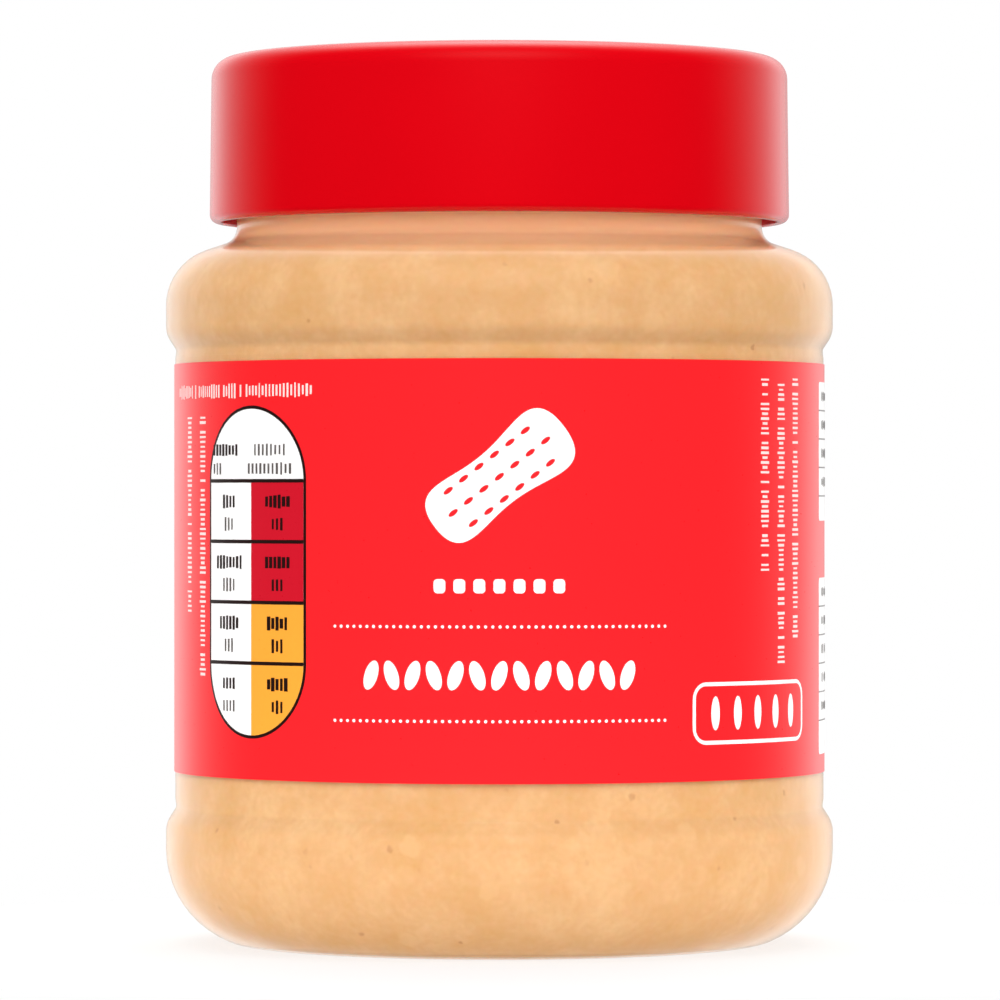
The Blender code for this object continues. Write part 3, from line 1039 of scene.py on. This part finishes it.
def surroundings(studio):
    """Studio that is bright behind the jar and dark behind the camera, on plain white."""
    world = bpy.data.worlds.new("studio")
    world.use_nodes = True
    tree = world.node_tree
    tree.nodes.clear()
    aim = add(tree, "ShaderNodeTexCoord").outputs["Generated"]
    back = (math.sin(studio.bright_side), math.cos(studio.bright_side), 0.0)
    patches = []
    for towards, squeeze, sharpness, strength in (
            (back, BACK_SQUEEZE, BACK_SHARPNESS, studio.surroundings),
            (OVERHEAD, 1.0, PATCH_SHARPNESS, studio.overhead),
            (FRONT_ABOVE, 1.0, PATCH_SHARPNESS, studio.front_above)):
        squeezed = add(tree, "ShaderNodeVectorMath", {0: aim, 1: (1.0, 1.0, squeeze)}, operation="MULTIPLY")
        level = add(tree, "ShaderNodeVectorMath", {0: squeezed}, operation="NORMALIZE")
        facing = add(tree, "ShaderNodeVectorMath", {0: level, 1: towards}, operation="DOT_PRODUCT")
        ahead = add(tree, "ShaderNodeMath", {0: facing.outputs["Value"], 1: 0.0}, operation="MAXIMUM")
        falling = add(tree, "ShaderNodeMath", {0: ahead, 1: sharpness}, operation="POWER")
        patches.append(add(tree, "ShaderNodeMath", {0: falling, 1: strength}, operation="MULTIPLY"))
    nearness = add(tree, "ShaderNodeVectorMath", {0: aim, 1: back}, operation="DOT_PRODUCT")
    most = add(tree, "ShaderNodeMapRange", {
        "Value": nearness.outputs["Value"], "From Min": BEHIND_FROM, "From Max": 1.0,
        "To Min": studio.brightest, "To Max": studio.straight_behind})
    bright = add(tree, "ShaderNodeMath", {0: patches[0], 1: most}, operation="MINIMUM")
    for patch in patches[1:]:
        bright = add(tree, "ShaderNodeMath", {0: bright, 1: patch}, operation="ADD")
    wall = add(tree, "ShaderNodeBackground", {"Color": WHITE, "Strength": bright})
    white = add(tree, "ShaderNodeBackground", {"Color": WHITE, "Strength": 1.0})
    rays = add(tree, "ShaderNodeLightPath")
    seen = add(tree, "ShaderNodeMixShader", {0: rays.outputs["Is Camera Ray"], 1: wall, 2: white})
    add(tree, "ShaderNodeOutputWorld", {"Surface": seen})
    bpy.context.scene.world = world


OPERATORS = (JAR_OT_clear_jar, JAR_OT_filling, JAR_OT_lid, JAR_OT_label, JAR_OT_print_table,
             JAR_OT_print_front, JAR_OT_print_sides, JAR_OT_studio)


class JAR_PT_panel(bpy.types.Panel):
    """Lists the jar's settings and what builds each piece"""

    bl_idname = "JAR_PT_panel"
    bl_label = "Peanut butter jar"
    bl_space_type = "VIEW_3D"
    bl_region_type = "UI"
    bl_category = "Jar"

    def draw(self, context):
        for operator in OPERATORS:
            self.layout.operator(operator.bl_idname)
        for group in settings():
            box = self.layout.box()
            for name in group.__annotations__:
                box.prop(group, name)


GROUPS = {"jar_sizes": JarSizes, "jar_label": LabelSizes, "jar_colours": JarColours, "jar_studio": JarStudio}


def register():
    """Register the classes and hang the settings on the scene."""
    for group in GROUPS.values():
        bpy.utils.register_class(group)
    for name, group in GROUPS.items():
        setattr(bpy.types.Scene, name, bpy.props.PointerProperty(type=group))
    for shown in OPERATORS + (JAR_PT_panel,):
        bpy.utils.register_class(shown)


def unregister():
    """Undo register."""
    for shown in (JAR_PT_panel,) + OPERATORS:
        bpy.utils.unregister_class(shown)
    for name, group in GROUPS.items():
        delattr(bpy.types.Scene, name)
        bpy.utils.unregister_class(group)


def main():
    """Register, and build every piece through its operator."""
    register()
    for operator in OPERATORS:
        group, name = operator.bl_idname.split(".")
        getattr(getattr(bpy.ops, group), name)()


if __name__ == "__main__":
    main()
